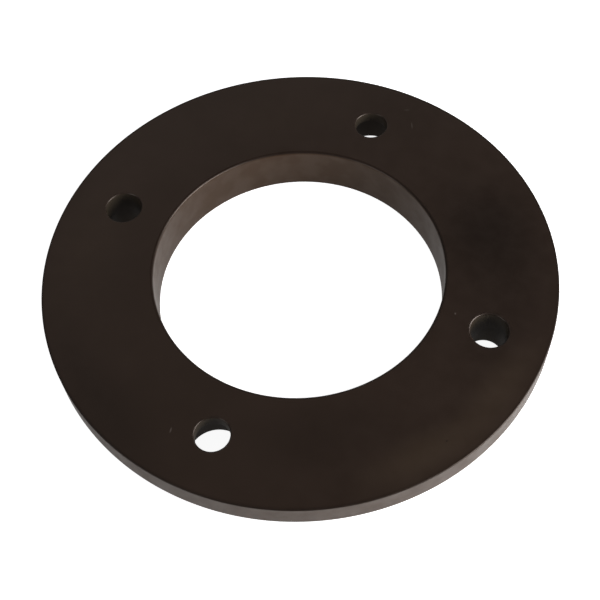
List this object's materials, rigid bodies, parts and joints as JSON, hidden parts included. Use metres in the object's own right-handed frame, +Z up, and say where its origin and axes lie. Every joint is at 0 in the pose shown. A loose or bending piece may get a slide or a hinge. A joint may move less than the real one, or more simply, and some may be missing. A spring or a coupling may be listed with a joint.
{
  "type": "toilet flange",
  "caption": "Thick round flange ring with a wide waste bore, a rim over a locating shoulder, and bolt holes round the bore, for fixing a toilet to the floor.",
  "frame": {"origin": "centre of the bore in the plane of the underside, which the ring stands on", "axes": "+Z up along the bore axis towards the toilet; +X through one floor bolt hole; +Y through one closet bolt hole"},
  "size_m": [0.1778, 0.1778, 0.0177],
  "materials": {
    "moulded_plastic": "satin"
  },
  "bodies": {
    "root": {"flange_ring": "moulded_plastic"}
  },
  "joints": []
}
